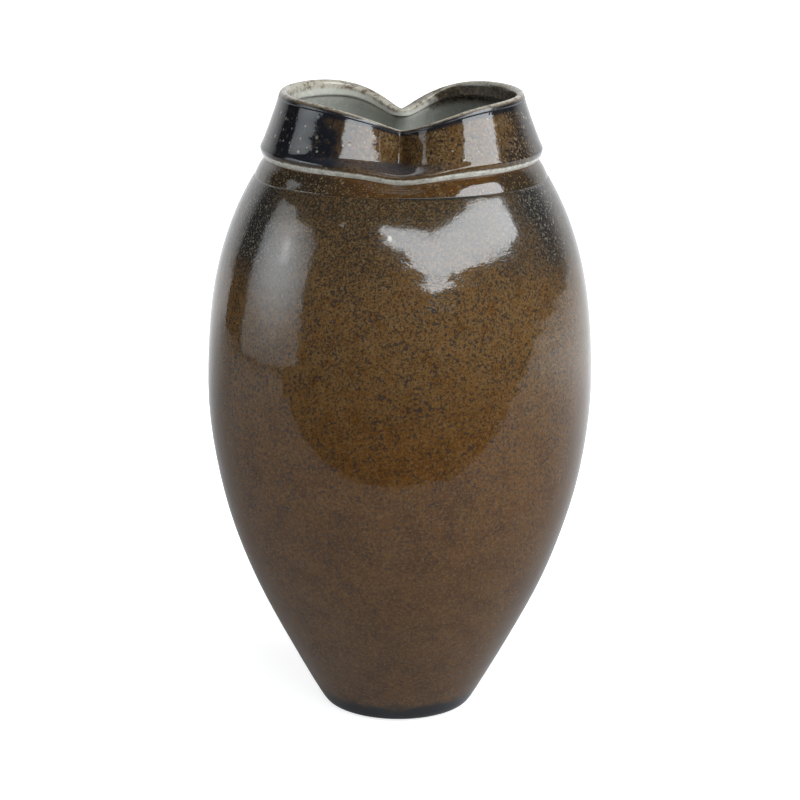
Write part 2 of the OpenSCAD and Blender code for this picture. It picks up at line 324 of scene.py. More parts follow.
def make_piece(name, rows, poles=False, values=None):
    """A closed piece from the rows of its section, in millimetres. With poles the first and last
    rows shrink to a point on Z; without, the section is a loop and the piece a ring. values holds
    arrays of the grid's shape, kept as point attributes for the materials."""
    count, cols = rows.shape[:2]
    points = rows.reshape(-1, 3)
    faces = flat_faces(count, cols, not poles)
    loops, sizes = faces.reshape(-1), np.full(len(faces), 4)
    flat = {key: v.reshape(-1) for key, v in (values or {}).items()}
    if poles:
        first = np.arange(cols)
        last = first + (count - 1) * cols
        ends = points[[0, -1]] * [0, 0, 1]
        low_fan = np.stack([np.full(cols, len(points)), np.roll(first, -1), first], -1)
        high_fan = np.stack([last, np.roll(last, -1), np.full(cols, len(points) + 1)], -1)
        points = np.vstack([points, ends])
        loops = np.concatenate([loops, low_fan.reshape(-1), high_fan.reshape(-1)])
        sizes = np.concatenate([sizes, np.full(2 * cols, 3)])
        flat = {key: np.concatenate([v, v[[0, -1]]]) for key, v in flat.items()}
    mesh = bpy.data.meshes.new(name)
    mesh.vertices.add(len(points))
    mesh.vertices.foreach_set("co", (points * MM).astype(np.float32).reshape(-1))
    mesh.loops.add(len(loops))
    mesh.loops.foreach_set("vertex_index", loops.astype(np.int32))
    mesh.polygons.add(len(sizes))
    starts = np.concatenate([[0], np.cumsum(sizes)[:-1]])
    mesh.polygons.foreach_set("loop_start", starts.astype(np.int32))
    mesh.polygons.foreach_set("use_smooth", np.ones(len(sizes), bool))
    mesh.update(calc_edges=True)
    for key, v in flat.items():
        mesh.attributes.new(key, "FLOAT", "POINT").data.foreach_set("value", v.astype(np.float32))
    mesh.validate()
    piece = bpy.data.objects.new(name, mesh)
    bpy.context.collection.objects.link(piece)
    return piece


def coat_rows(face, thickness, every=4):
    """A coat as a closed section: its face rows up, then back down its clay side at fewer rows."""
    back = raised(face, -thickness)
    picked = np.unique(np.append(np.arange(0, len(back), every), len(back) - 1))[::-1]
    return np.concatenate([face, back[picked]])


def along(face):
    """Millimetres walked up each column of a grid from its first row."""
    step = np.linalg.norm(np.diff(face, axis=0), axis=2)
    return np.concatenate([np.zeros((1, face.shape[1])), np.cumsum(step, 0)])


def with_back(values, face, rows):
    """Attribute values of a coat's face, followed by zeros for its hidden back."""
    return np.concatenate([values, np.zeros((len(rows) - len(face), face.shape[1]))])


# ---------------------------------------------------------------- pieces

def groove(distance, a):
    """A rounded tooled groove, a Gaussian of the distance from its middle. Its depth varies with the
    angle about Z: deepest near +X and near -X, and hardly there at the front and the back."""
    depth = 0.02 + 0.16 * np.exp(-(np.cos(a - 1.4) / 0.45) ** 2)
    return -depth * np.exp(-(distance / 0.9) ** 2)


def body_face(steps):
    """Glazed face of the body with its finger marks, a roll of glaze at the foot and half of the
    tooled groove at the shoulder."""
    plain = turned(body_side(steps), BODY_AROUND)
    up_way = along(plain)
    fade = smooth(up_way / 12) * smooth((up_way[-1] - up_way) / 8)
    relief = fade * (hand_waves(plain, 3, 0.10) + throwing_rings(plain, 7.5, 0.018))
    relief += 0.18 * np.exp(-((up_way - 1.2) / 1.1) ** 2)
    relief += groove(up_way[-1] - up_way, angle_of(plain))
    return raised(plain, relief)


def build_body_glaze():
    """The glaze coat on the body."""
    face = body_face(100)
    rows = coat_rows(face, GLAZE)
    return make_piece("body_glaze_coat", rows, values={"rise": with_back(along(face), face, rows)})


def build_body_clay():
    """The thrown body: from the middle of the underside, round the foot ring, up under the glaze,
    over the neck and down the inside to the middle of the floor."""
    ring_in = FOOT_R - FOOT_RING_W
    under = np.array([
        [2, FOOT_HOLLOW], [ring_in - 5, FOOT_HOLLOW], [ring_in - 1.6, FOOT_HOLLOW - 0.15],
        [ring_in - 0.7, 1.4], [ring_in - 0.1, 0.3], [ring_in + 0.5, 0],
        [ring_in + 2.5, 0], [FOOT_R - 2.5, 0], [FOOT_R - 0.3, 0], [FOOT_R + 0.6, 0.12]
    ])
    outer = beside(body_side(48), GLAZE)
    neck = np.array([
        [NECK_OUT, NECK_Z], [NECK_OUT - 2, NECK_Z], [NECK_IN, NECK_Z], [NECK_IN, NECK_THROAT_Z]
    ])
    side = np.vstack([under, outer, neck, inside_side(GLAZE + WALL, 0, 40)])
    return make_piece("thrown_body", turned(side, BODY_AROUND), poles=True)


def build_body_liner():
    """The liner inside the body: up its clay side from the floor, over the neck and down its face."""
    clay = np.vstack([
        [[NECK_IN, NECK_Z], [NECK_IN, NECK_THROAT_Z]], inside_side(GLAZE + WALL, 0, 30)
    ])[::-1]
    face = np.vstack([
        [[NECK_IN - LINER, NECK_Z], [NECK_IN - LINER, NECK_THROAT_Z - LINER]],
        inside_side(GLAZE + WALL + LINER, LINER, 60)
    ])
    rows = turned(np.vstack([clay, face]), BODY_AROUND)
    marks = throwing_rings(rows, 9, 0.12)
    marks[: len(clay) + 3] = 0
    marks[-8:] = 0
    return make_piece("body_liner_coat", raised(rows, marks), poles=True)


def collar_face():
    """Glazed faces of the collar: outer rows, crest rows and inner rows, with hand unevenness."""
    a = around_angles(COLLAR_AROUND)
    outer_side = chain([EDGE_CURVE, BEAD_CURVE, CONE_CURVE], [18, 24, 34])
    crest_side = chain([CREST_CURVE], [9])
    inner_side = chain(
        [LIP_CURVE, BAND_CURVE, UNDERCUT_CURVE, HOLLOW_CURVE, THROAT_CURVE], [9, 8, 9, 24, 26]
    )
    outer = collar_outer(outer_side, a)
    crest = collar_outer(crest_side, a)
    inner = collar_inner(inner_side, a)
    rows = np.concatenate([outer[:-1], crest[:-1], inner])
    side = np.vstack([outer_side[:-1], crest_side[:-1], inner_side])
    share = np.linspace(0, 1, len(rows))[:, None]
    fade = smooth(share * 14) * smooth((1 - share) * 8)
    height = fade * (hand_waves(rows, 8, 0.07) + throwing_rings(rows, 6, 0.012))
    return raised(rows, height), side, len(outer_side) - 1, a


COLLAR_FACE, COLLAR_SIDE, OUTER_ROWS, COLLAR_ANGLES = collar_face()


def collar_values(first, last):
    """Attributes of the collar's rows: height before the squeeze, in millimetres above the lower
    edge; how strongly glaze pools on the ledge in the valleys; and the way walked over the lip."""
    z = COLLAR_SIDE[first:last, 1:] - EDGE_Z
    rise = z + 0 * COLLAR_ANGLES[None, :]
    pool = np.exp(-((z - 5.6) / 1.7) ** 2) * bell(COLLAR_ANGLES[None, :], 0.2) ** 0.6
    step = np.linalg.norm(np.diff(COLLAR_SIDE, axis=0), axis=1)
    over = np.concatenate([[0], np.cumsum(step)])
    over = np.clip(over - over[OUTER_ROWS], 0, 20)[first:last, None] + 0 * rise
    return {"rise": rise, "pool": pool, "over": over}


def build_collar_coat(name, first, last):
    """A glaze coat over the collar's face rows from first to last."""
    face = COLLAR_FACE[first:last]
    rows = coat_rows(face, GLAZE)
    values = collar_values(first, last)
    return make_piece(
        name, rows, values={key: with_back(v, face, rows) for key, v in values.items()}
    )


def build_collar_clay():
    """The collar's clay: one coat of glaze inside its faces, closed by the ring it stands on."""
    clay = raised(COLLAR_FACE, -GLAZE)[::2]
    a = COLLAR_ANGLES[None, :]

    def ring_row(r):
        return np.stack([r * np.cos(a), r * np.sin(a), COLLAR_Z + 0 * a], -1)

    return make_piece(
        "thrown_collar", np.concatenate([ring_row(NECK_OUT), clay, ring_row(NECK_IN)])
    )


def seam_rows(start, edge_row, steps):
    """The rounded face of the seam: cubic Bezier curves that leave a circle on the shoulder steeply
    and roll inwards to the collar's lower edge."""
    a = angle_of(edge_row)[None, :]
    t = np.linspace(0, 1, steps)[:, None, None]
    outwards = np.stack([np.cos(a), np.sin(a), 0 * a], -1)
    low = start[0] * outwards + [0, 0, start[1]]
    above = low - SEAM_LOW[0] * outwards + [0, 0, SEAM_LOW[1]]
    below = edge_row[None] + SEAM_HIGH[0] * outwards - [0, 0, SEAM_HIGH[1]]
    return ((1 - t) ** 3 * low + 3 * (1 - t) ** 2 * t * above
            + 3 * (1 - t) * t * t * below + t ** 3 * edge_row[None])


SHOULDER_NORMAL = np.array([math.cos(SHOULDER_ANGLE), math.sin(SHOULDER_ANGLE)])


def seam_clay(steps):
    """The seam's rounded face under its glaze."""
    edge_row = raised(COLLAR_FACE[:3], -GLAZE)[0]
    return seam_rows(SHOULDER - GLAZE * SHOULDER_NORMAL, edge_row, steps)


def build_seam_glaze():
    """The amber glaze over the rounded coil, with the other half of the tooled groove."""
    face = seam_rows(SHOULDER, COLLAR_FACE[0], 26)
    up_way = along(face)
    fade = smooth(up_way / 3) * smooth((up_way[-1] - up_way) / 2)
    face = raised(face, groove(up_way, angle_of(face)) + 0.05 * hand_waves(face, 5, 1.0) * fade)
    rows = np.concatenate([face, seam_clay(8)[::-1]])
    share = np.linspace(0, 1, len(face))[:, None] + 0 * face[..., 0]
    return make_piece("seam_glaze_coat", rows, values={"rise": with_back(share, face, rows)})


def build_seam_coil():
    """The luting coil: its rounded face under the glaze, the collar's slanted base, the slip's edge
    and the slope of the neck."""
    clay = seam_clay(10)
    a = angle_of(clay[0])[None, :]

    def ring_row(z):
        return np.stack([NECK_OUT * np.cos(a), NECK_OUT * np.sin(a), z + 0 * a], -1)

    return make_piece("luting_coil", np.concatenate([ring_row(NECK_Z), clay, ring_row(COLLAR_Z)]))


def build_joint_slip():
    """The flat ring of slip between the neck and the collar's base."""
    side = np.array([
        [NECK_OUT, NECK_Z], [NECK_OUT, COLLAR_Z], [NECK_IN + 1, COLLAR_Z], [NECK_IN, COLLAR_Z],
        [NECK_IN, NECK_Z], [NECK_IN + 1, NECK_Z]
    ])
    return make_piece("joint_slip_ring", turned(side, BODY_AROUND))


# ---------------------------------------------------------------- material building blocks

class Finish:
    """A node material with short names for the nodes that the glazes are made of."""

    def __init__(self, name, ior):
        self.material = bpy.data.materials.new(name)
        self.material.use_nodes = True
        self.tree = self.material.node_tree
        self.shader = self.tree.nodes["Principled BSDF"]
        self.shader.inputs["IOR"].default_value = ior
        self.place = self.node("ShaderNodeTexCoord").outputs["Object"]

    def node(self, kind, **settings):
        n = self.tree.nodes.new(kind)
        for key, value in settings.items():
            setattr(n, key, value)
        return n

    def link(self, value, socket):
        """Joins an output to a socket, or sets the socket to a number or a colour."""
        if isinstance(value, bpy.types.NodeSocket):
            self.tree.links.new(value, socket)
        elif isinstance(value, (tuple, list)) and len(value) == 3 and socket.type == "RGBA":
            socket.default_value = (*value, 1)
        else:
            socket.default_value = value

    def maths(self, operation, a, b=0.0, clamp=False):
        n = self.node("ShaderNodeMath", operation=operation, use_clamp=clamp)
        self.link(a, n.inputs[0])
        self.link(b, n.inputs[1])
        return n.outputs[0]

    def times(self, a, b):
        return self.maths("MULTIPLY", a, b)

    def plus(self, a, b):
        return self.maths("ADD", a, b)

    def minus(self, a, b):
        return self.maths("SUBTRACT", a, b)

    def greater(self, a, b):
        return self.maths("MAXIMUM", a, b)

    def between(self, value, low, high, to_low=0.0, to_high=1.0):
        """Smooth step of a value from low to high."""
        n = self.node("ShaderNodeMapRange", interpolation_type="SMOOTHSTEP")
        for socket, v in zip(n.inputs, (value, low, high, to_low, to_high)):
            self.link(v, socket)
        return n.outputs[0]

    def mix(self, share, a, b):
        """Colour a, going over to colour b as share rises from 0 to 1."""
        n = self.node("ShaderNodeMix", data_type="RGBA")
        self.link(share, n.inputs[0])
        self.link(a, n.inputs[6])
        self.link(b, n.inputs[7])
        return n.outputs[2]

    def clouds(self, size, detail=3.0, rough=0.55, shift=0.0, warp=0.0):
        """Noise whose features are about size millimetres across."""
        n = self.node("ShaderNodeTexNoise")
        n.inputs["Scale"].default_value = 1 / (size * MM)
        n.inputs["Detail"].default_value = detail
        n.inputs["Roughness"].default_value = rough
        n.inputs["Distortion"].default_value = warp
        self.link(self.moved(shift), n.inputs["Vector"])
        return n.outputs["Fac"]

    def moved(self, shift, place=None):
        """Coordinates, the object's own unless others are given, moved aside in a pattern."""
        place = place or self.place
        if not shift:
            return place
        n = self.node("ShaderNodeVectorMath", operation="ADD")
        self.link(place, n.inputs[0])
        n.inputs[1].default_value = (shift, shift * 0.7, shift * 1.3)
        return n.outputs[0]

    def stirred(self, size, amount):
        """Object coordinates pushed about by noise, so that dots made on them come out ragged."""
        n = self.node("ShaderNodeTexNoise")
        n.inputs["Scale"].default_value = 1 / (size * MM)
        n.inputs["Detail"].default_value = 2
        self.link(self.place, n.inputs["Vector"])
        centred = self.node("ShaderNodeVectorMath", operation="SUBTRACT")
        self.link(n.outputs["Color"], centred.inputs[0])
        centred.inputs[1].default_value = (0.5, 0.5, 0.5)
        scaled = self.node("ShaderNodeVectorMath", operation="SCALE")
        self.link(centred.outputs[0], scaled.inputs[0])
        scaled.inputs["Scale"].default_value = amount * MM
        total = self.node("ShaderNodeVectorMath", operation="ADD")
        self.link(self.place, total.inputs[0])
        self.link(scaled.outputs[0], total.inputs[1])
        return total.outputs[0]

    def dots(self, cell, radius, share, place, shift=0.0, soft=0.35):
        """Dots of a radius in millimetres, in that share of the cells of a Voronoi pattern; radius
        and share may be outputs. Their sizes vary from cell to cell."""
        n = self.node("ShaderNodeTexVoronoi")
        n.inputs["Scale"].default_value = 1 / (cell * MM)
        self.link(self.moved(shift, place), n.inputs["Vector"])
        pick = self.node("ShaderNodeSeparateColor")
        self.link(n.outputs["Color"], pick.inputs[0])
        on = self.maths("LESS_THAN", pick.outputs[0], share)
        size = self.maths("MULTIPLY", self.between(pick.outputs[1], 0, 1, 0.55, 1.3), radius)
        reach = self.maths("DIVIDE", size, cell)
        inside = self.maths("DIVIDE", n.outputs["Distance"], reach)
        shape = self.between(inside, 1.0 - soft, 1.0 + soft, 1.0, 0.0)
        return self.maths("MULTIPLY", shape, on)

    def ramp(self, value, stops):
        """Colour ramp with (position, colour) stops."""
        n = self.node("ShaderNodeValToRGB")
        ends = n.color_ramp.elements
        while len(ends) < len(stops):
            ends.new(0.5)
        for element, (position, colour) in zip(ends, stops):
            element.position = position
            element.color = (*colour, 1)
        self.link(value, n.inputs[0])
        return n.outputs[0]

    def axes(self):
        """Object X, Y and Z in millimetres."""
        scale = self.node("ShaderNodeVectorMath", operation="SCALE")
        self.link(self.place, scale.inputs[0])
        scale.inputs["Scale"].default_value = 1 / MM
        n = self.node("ShaderNodeSeparateXYZ")
        self.link(scale.outputs[0], n.inputs[0])
        return n.outputs

    def value(self, name):
        """A point attribute of the piece."""
        return self.node("ShaderNodeAttribute", attribute_name=name).outputs["Fac"]

    def bumps(self, layers):
        """Bump nodes one after another, each from (height, depth in millimetres)."""
        normal = None
        for height, depth in layers:
            n = self.node("ShaderNodeBump")
            n.inputs["Strength"].default_value = 1.0
            n.inputs["Distance"].default_value = depth * MM
            self.link(height, n.inputs["Height"])
            if normal is not None:
                self.link(normal, n.inputs["Normal"])
            normal = n.outputs[0]
        self.link(normal, self.shader.inputs["Normal"])

    def done(self, colour, roughness):
        self.link(colour, self.shader.inputs["Base Color"])
        self.link(roughness, self.shader.inputs["Roughness"])
        return self.material


GLAZE_IOR = 1.5
DARK_GLAZE_IOR = 1.44
CLAY_IOR = 1.45

AMBER_DEEP = (0.070, 0.026, 0.0040)
AMBER = (0.100, 0.041, 0.0080)
OCHRE = (0.138, 0.074, 0.026)
TAN = (0.190, 0.130, 0.068)
OLIVE_BLACK = (0.018, 0.016, 0.011)
IRON_SPECK = (0.017, 0.016, 0.017)
BLUE_BLACK = (0.0075, 0.0085, 0.0115)
# Dark glaze at the foot, made near black as painted shade where the foot meets the floor.
FOOT_BLUE_AND_SHADE = (0.006, 0.007, 0.009)
POOL_BLUE = (0.040, 0.045, 0.058)
CREAM = (0.66, 0.635, 0.56)
CREAM_GREY = (0.46, 0.435, 0.365)
STAIN = (0.085, 0.050, 0.024)
RUST = (0.22, 0.085, 0.025)
TOASTED = (0.17, 0.095, 0.052)


def grain(f, size, cover, shift, soft=0.05):
    """Specks where noise of that size rises above a level; cover, a number or an output, is the
    share of the surface that they take, near enough, between 0 and 0.6."""
    level = f.minus(0.655, f.times(cover, 0.30))
    over = f.minus(f.clouds(size, 1, 0.5, shift=shift, warp=0.15), level)
    return f.between(over, -soft, soft)


def groove_pool(f, x):
    """Where dark glaze gathers in the tooled groove: from the middle to some way right of it."""
    return f.times(f.between(x, -8, 6), f.between(x, 26, 40, 0.85, 0.0))


def speckled_brown():
    """Brown body glaze: amber ground, ragged iron specks in loose clusters that crowd together into
    an olive-black salt-and-pepper under the seam, tan grains between them, and a dark foot line that is
    partly dark glaze and partly painted shade where the foot meets the floor."""
    f = Finish("speckled_brown_glaze", GLAZE_IOR)
    x, _, z = f.axes()
    drift = f.minus(f.clouds(24, 3, 0.55, shift=0.9), 0.5)
    high = f.plus(z, f.times(drift, 46.0))
    ground = f.ramp(
        f.clouds(11, 4, 0.6), [(0.32, AMBER_DEEP), (0.50, AMBER), (0.74, (0.116, 0.052, 0.013))]
    )
    ochre_share = f.times(
        f.between(high, 118, 170), f.between(f.clouds(5, 4, 0.65, shift=0.5), 0.26, 0.62)
    )
    ground = f.mix(f.times(ochre_share, 0.8), ground, (0.122, 0.070, 0.028))
    fleck = f.clouds(1.1, 2, 0.6, shift=0.3)
    ground = f.mix(f.between(fleck, 0.50, 0.64, 0.0, 0.60), ground, OCHRE)
    ground = f.mix(f.between(fleck, 0.36, 0.48, 0.45, 0.0), ground, (0.050, 0.026, 0.010))
    top = f.between(high, 184, 226)
    ground = f.mix(f.times(top, 0.60), ground, (0.052, 0.033, 0.015))
    cluster = f.between(f.clouds(7, 3, 0.6, shift=0.62), 0.36, 0.66)
    thin = f.between(z, 10, 165, 0.45, 1.0)
    spread = f.times(f.plus(f.times(cluster, 0.26), 0.09), thin)
    coarse = grain(f, 1.2, f.plus(spread, f.times(top, 0.10)), 0.17, 0.045)
    fine = grain(f, 0.80, f.plus(f.times(top, 0.26), f.between(high, 90, 200, 0.06, 0.24)), 0.71)
    faint = f.between(z, 30, 165, 0.42, 0.74)
    colour = f.mix(f.times(coarse, faint), ground, IRON_SPECK)
    colour = f.mix(f.times(fine, f.between(high, 90, 205, 0.30, 0.76)), colour, OLIVE_BLACK)
    pale_grain = grain(f, 0.75, f.between(high, 120, 215, 0.05, 0.20), 0.37)
    colour = f.mix(f.times(pale_grain, f.between(high, 120, 215, 0.24, 0.36)), colour, TAN)
    bloom = f.dots(9, 1.1, f.between(z, 196, 212, 0.0, 0.10), f.stirred(1.6, 2.2), shift=0.77, soft=0.6)
    colour = f.mix(f.times(bloom, 0.7), colour, CREAM)
    # Dark foot line: partly a real dark glaze band, partly painted shade of the contact with the floor.
    foot_line_and_shade_wave = f.plus(z, f.times(f.minus(f.clouds(7, 3), 0.5), 7.0))
    colour = f.mix(f.between(foot_line_and_shade_wave, 5.5, 10.5, 0.97, 0.0), colour, FOOT_BLUE_AND_SHADE)
    worn = f.between(f.plus(z, f.times(f.clouds(2, 3), 1.5)), 1.6, 2.3, 0.4, 0.0)
    colour = f.mix(worn, colour, TOASTED)
    aside = f.plus(f.maths("ABSOLUTE", x), f.times(drift, 36.0))
    dim_side = f.times(f.between(aside, 34, 54), f.between(high, 178, 214, 0.0, 0.85))
    colour = f.mix(dim_side, colour, (0.016, 0.017, 0.019))
    fleck_share = f.times(dim_side, 0.16)
    colour = f.mix(f.times(grain(f, 0.9, fleck_share, 0.83), dim_side), colour, (0.17, 0.15, 0.11))
    gather = groove_pool(f, x)
    colour = f.mix(f.times(f.between(z, 224.7, 225.8), gather), colour, OLIVE_BLACK)
    roughness = f.plus(f.between(f.clouds(3, 3, 0.6, shift=0.2), 0.3, 0.7, 0.030, 0.055),
                        f.times(f.greater(fine, coarse), f.between(z, 150, 190, 0.04, 0.06)))
    f.bumps([
        (f.clouds(8, 1, 0.4, shift=0.15), 0.085),
        (f.clouds(2.2, 2, 0.5, shift=0.55), 0.030),
        (fine, 0.006),
    ])
    return f.done(colour, roughness)


def amber_glaze():
    """Amber glaze that ran thick over the seam coil: darker towards both sides and in the tooled
    groove, with painted shade just under the collar's edge."""
    f = Finish("amber_glaze", GLAZE_IOR)
    x = f.axes()[0]
    rise = f.value("rise")
    ground = f.ramp(
        f.clouds(5, 4, 0.6),
        [(0.3, AMBER_DEEP), (0.5, (0.066, 0.030, 0.008)), (0.72, (0.100, 0.053, 0.018))]
    )
    wander = f.times(f.minus(f.clouds(18, 3), 0.5), 34.0)
    dark_side = f.between(f.plus(x, wander), -36, -8, 0.85, 0.0)
    ground = f.mix(dark_side, ground, OLIVE_BLACK)
    ends = f.between(f.plus(x, wander), 30, 50, 0.0, 0.8)
    ground = f.mix(ends, ground, OLIVE_BLACK)
    specks = grain(f, 1.1, 0.16, 0.2)
    colour = f.mix(f.times(specks, 0.7), ground, IRON_SPECK)
    tan = grain(f, 0.8, f.times(dark_side, 0.2), 0.6)
    colour = f.mix(f.times(tan, 0.7), colour, TAN)
    gather = groove_pool(f, x)
    colour = f.mix(f.times(f.between(rise, 0.0, 0.14, 1.0, 0.0), gather), colour, OLIVE_BLACK)
    # Painted shade: the glaze is darkened towards AMBER_DEEP just under the collar's edge, where its
    # shade falls.
    painted_shade_under_edge = f.between(rise, 0.86, 1.0, 0.0, 0.55)
    colour = f.mix(painted_shade_under_edge, colour, AMBER_DEEP)
    f.bumps([(f.clouds(7, 1, 0.4, shift=0.15), 0.07), (f.clouds(2.2, 2, 0.5, shift=0.5), 0.03)])
    return f.done(colour, f.between(f.clouds(3, 3), 0.3, 0.7, 0.05, 0.10))


def dark_iron():
    """Collar glaze: blue-black with cream dots, mottled brown in the two valleys, breaking to cream
    on the lower edge and the rim, pooled blue-grey on the ledge of each valley."""
    f = Finish("dark_iron_glaze", DARK_GLAZE_IOR)
    x, y = f.axes()[:2]
    rise, pool = f.value("rise"), f.value("pool")
    wander = f.times(f.minus(f.clouds(13, 4, 0.6), 0.5), 26.0)
    across = f.plus(x, wander)
    from_left = f.between(across, -30, -15)
    from_right = f.between(across, 36, 46, 1.0, 0.25)
    front = f.between(y, -30, -10, 1.0, 0.0)
    behind = f.times(f.between(f.maths("ABSOLUTE", across), 10, 24, 0.9, 0.0), f.between(y, 10, 24))
    brown_share = f.greater(f.times(f.times(from_left, from_right), front), behind)
    brown = f.ramp(
        f.clouds(1.3, 3, 0.7),
        [(0.30, (0.032, 0.018, 0.008)), (0.50, (0.092, 0.051, 0.019)), (0.70, (0.18, 0.125, 0.066))]
    )
    amber_share = f.between(f.clouds(6, 3, 0.6, shift=0.44), 0.40, 0.66, 0.0, 0.45)
    brown = f.mix(amber_share, brown, (0.088, 0.040, 0.009))
    streak = f.between(f.clouds(2.0, 3, 0.7, shift=0.6), 0.53, 0.66)
    speck_share = f.times(streak, f.between(f.clouds(15, 3, 0.6, shift=0.13), 0.42, 0.60))
    black = f.mix(f.times(speck_share, 0.85), BLUE_BLACK, (0.060, 0.036, 0.017))
    colour = f.mix(brown_share, black, brown)
    colour = f.mix(f.times(grain(f, 1.3, 0.17, 0.3), 0.8), colour, BLUE_BLACK)
    pin_share = f.between(brown_share, 0.1, 0.9, 0.46, 0.03)
    pin = f.dots(3.4, 0.56, pin_share, f.stirred(2.0, 0.8), shift=0.52, soft=0.6)
    dust_share = f.between(brown_share, 0.1, 0.9, 0.16, 0.10)
    dust = f.dots(1.7, 0.26, dust_share, f.stirred(1.0, 0.6), shift=0.22, soft=0.6)
    colour = f.mix(f.times(f.greater(pin, dust), 0.66), colour, (0.38, 0.34, 0.26))
    tan = f.times(grain(f, 0.95, 0.20, 0.41), f.between(across, 34, 46, 0.0, 0.75))
    colour = f.mix(f.times(tan, front), colour, TAN)
    rust = f.dots(6, 0.7, f.times(brown_share, 0.10), f.stirred(1.5, 2.0), shift=0.9, soft=0.6)
    colour = f.mix(f.times(rust, 0.7), colour, RUST)
    colour = f.mix(f.maths("MULTIPLY", pool, 0.85, clamp=True), colour, POOL_BLUE)
    tooth = f.times(f.minus(f.clouds(2.6, 4, 0.7, shift=0.8), 0.5), 1.2)
    ragged_rise = f.plus(rise, tooth)
    colour = f.mix(f.between(ragged_rise, 21.5, 23.6, 0.0, 0.92), colour, BLUE_BLACK)
    halo = f.between(ragged_rise, 2.6, 4.4, 0.8, 0.0)
    colour = f.mix(halo, colour, (0.085, 0.052, 0.024))
    pale = f.mix(f.between(f.clouds(3.5, 4, 0.65), 0.35, 0.65), CREAM_GREY, CREAM)
    pale = f.mix(f.times(grain(f, 1.2, 0.06, 0.66), 0.35), pale, STAIN)
    at_rim = f.between(ragged_rise, 25.5, 26.2)
    at_edge = f.between(ragged_rise, 2.0, 2.8, 1.0, 0.0)
    colour = f.mix(f.greater(at_rim, at_edge), colour, pale)
    roughness = f.plus(f.between(f.clouds(3, 3, shift=0.2), 0.3, 0.7, 0.05, 0.10),
                        f.times(f.greater(at_rim, at_edge), 0.15))
    f.bumps([
        (f.clouds(7, 1, 0.4, shift=0.15), 0.075),
        (f.clouds(2.1, 2, 0.5, shift=0.5), 0.034),
        (pin, 0.04),
    ])
    return f.done(colour, roughness)


def pale_rim():
    """Cream-grey glaze over the lip and down inside the collar: brown stains along the lip, dark
    iron on the inside of the right lobe, and painted shade that greys it down the throat."""
    f = Finish("pale_rim_glaze", GLAZE_IOR)
    x, y = f.axes()[:2]
    rise = f.value("rise")
    ground = f.ramp(
        f.clouds(7, 4, 0.6),
        [(0.3, (0.40, 0.39, 0.335)), (0.55, (0.47, 0.455, 0.395)), (0.75, (0.52, 0.49, 0.415))]
    )
    # Painted shade: the lower inside of the collar is greyed, standing in for the shade deeper in the
    # throat.
    ground = f.mix(f.between(rise, 15.5, 20.5, 0.70, 0.0), ground, (0.25, 0.255, 0.22))
    patchy = f.clouds(4.0, 4, 0.7, shift=0.35)
    over = f.value("over")
    near_lip = f.between(rise, 22.6, 24.4)
    ground = f.mix(f.times(near_lip, 0.55), ground, (0.36, 0.305, 0.225))
    stain = f.times(near_lip, f.between(patchy, 0.47, 0.62))
    colour = f.mix(f.times(stain, 0.8), ground, STAIN)
    side = f.plus(f.times(x, 0.85), f.times(y, 0.35))
    side = f.plus(side, f.times(patchy, 18.0))
    iron = f.times(f.between(side, 28, 38), f.between(rise, 15.0, 19.0, 0.35, 1.0))
    iron = f.times(iron, f.between(rise, 25.2, 26.3, 1.0, 0.0))
    mottle = f.between(f.clouds(1.6, 3, 0.7), 0.4, 0.65)
    mottle = f.mix(mottle, (0.018, 0.014, 0.011), (0.085, 0.060, 0.036))
    colour = f.mix(f.times(iron, 0.98), colour, mottle)
    dust = f.dots(1.9, 0.30, 0.16, f.stirred(1.0, 0.8), shift=0.6)
    colour = f.mix(f.times(dust, 0.5), colour, STAIN)
    reach = f.plus(over, f.times(f.minus(patchy, 0.5), 2.2))
    colour = f.mix(f.between(reach, 1.6, 2.5, 0.8, 0.0), colour, STAIN)
    colour = f.mix(f.between(reach, 1.0, 1.7, 0.95, 0.0), colour, BLUE_BLACK)
    f.bumps([(f.clouds(6, 2, 0.5, shift=0.15), 0.07), (f.clouds(1.6, 2, 0.5, shift=0.5), 0.02)])
    return f.done(colour, f.between(f.clouds(3, 3), 0.3, 0.7, 0.16, 0.30))


def pale_liner():
    """Grey-green liner glaze inside the body, with iron dust and thin brown rings where it broke."""
    f = Finish("pale_liner_glaze", GLAZE_IOR)
    z = f.axes()[2]
    ground = f.ramp(
        f.clouds(16, 4, 0.6),
        [(0.3, (0.20, 0.205, 0.175)), (0.55, (0.30, 0.31, 0.26)), (0.75, CREAM_GREY)]
    )
    dust = f.dots(2.4, 0.34, 0.2, f.stirred(1.0, 0.8), shift=0.6)
    colour = f.mix(f.times(dust, 0.6), ground, STAIN)
    turn = f.maths("SINE", f.times(z, 2 * math.pi / 9))
    ring = f.times(f.between(turn, 0.80, 1.0), f.between(f.clouds(12, 3), 0.45, 0.65))
    colour = f.mix(f.times(ring, 0.35), colour, STAIN)
    f.bumps([(f.clouds(8, 2, 0.5, shift=0.15), 0.10), (f.clouds(1.4, 2, 0.5, shift=0.5), 0.03)])
    return f.done(colour, f.between(f.clouds(4, 3), 0.3, 0.7, 0.14, 0.28))


def bare_clay(name, tint):
    """Unglazed stoneware: toasted, gritty, with dark iron grains."""
    f = Finish(name, CLAY_IOR)
    ground = f.mix(f.clouds(6, 5, 0.65), tint, tuple(c * 0.6 for c in tint))
    grit = f.dots(1.3, 0.28, 0.3, f.stirred(0.8, 0.6))
    colour = f.mix(f.times(grit, 0.7), ground, IRON_SPECK)
    f.bumps([(f.clouds(0.8, 4, 0.7, shift=0.4), 0.06), (grit, 0.05)])
    return f.done(colour, f.between(f.clouds(2, 3), 0.3, 0.7, 0.7, 0.9))


# ---------------------------------------------------------------- the object

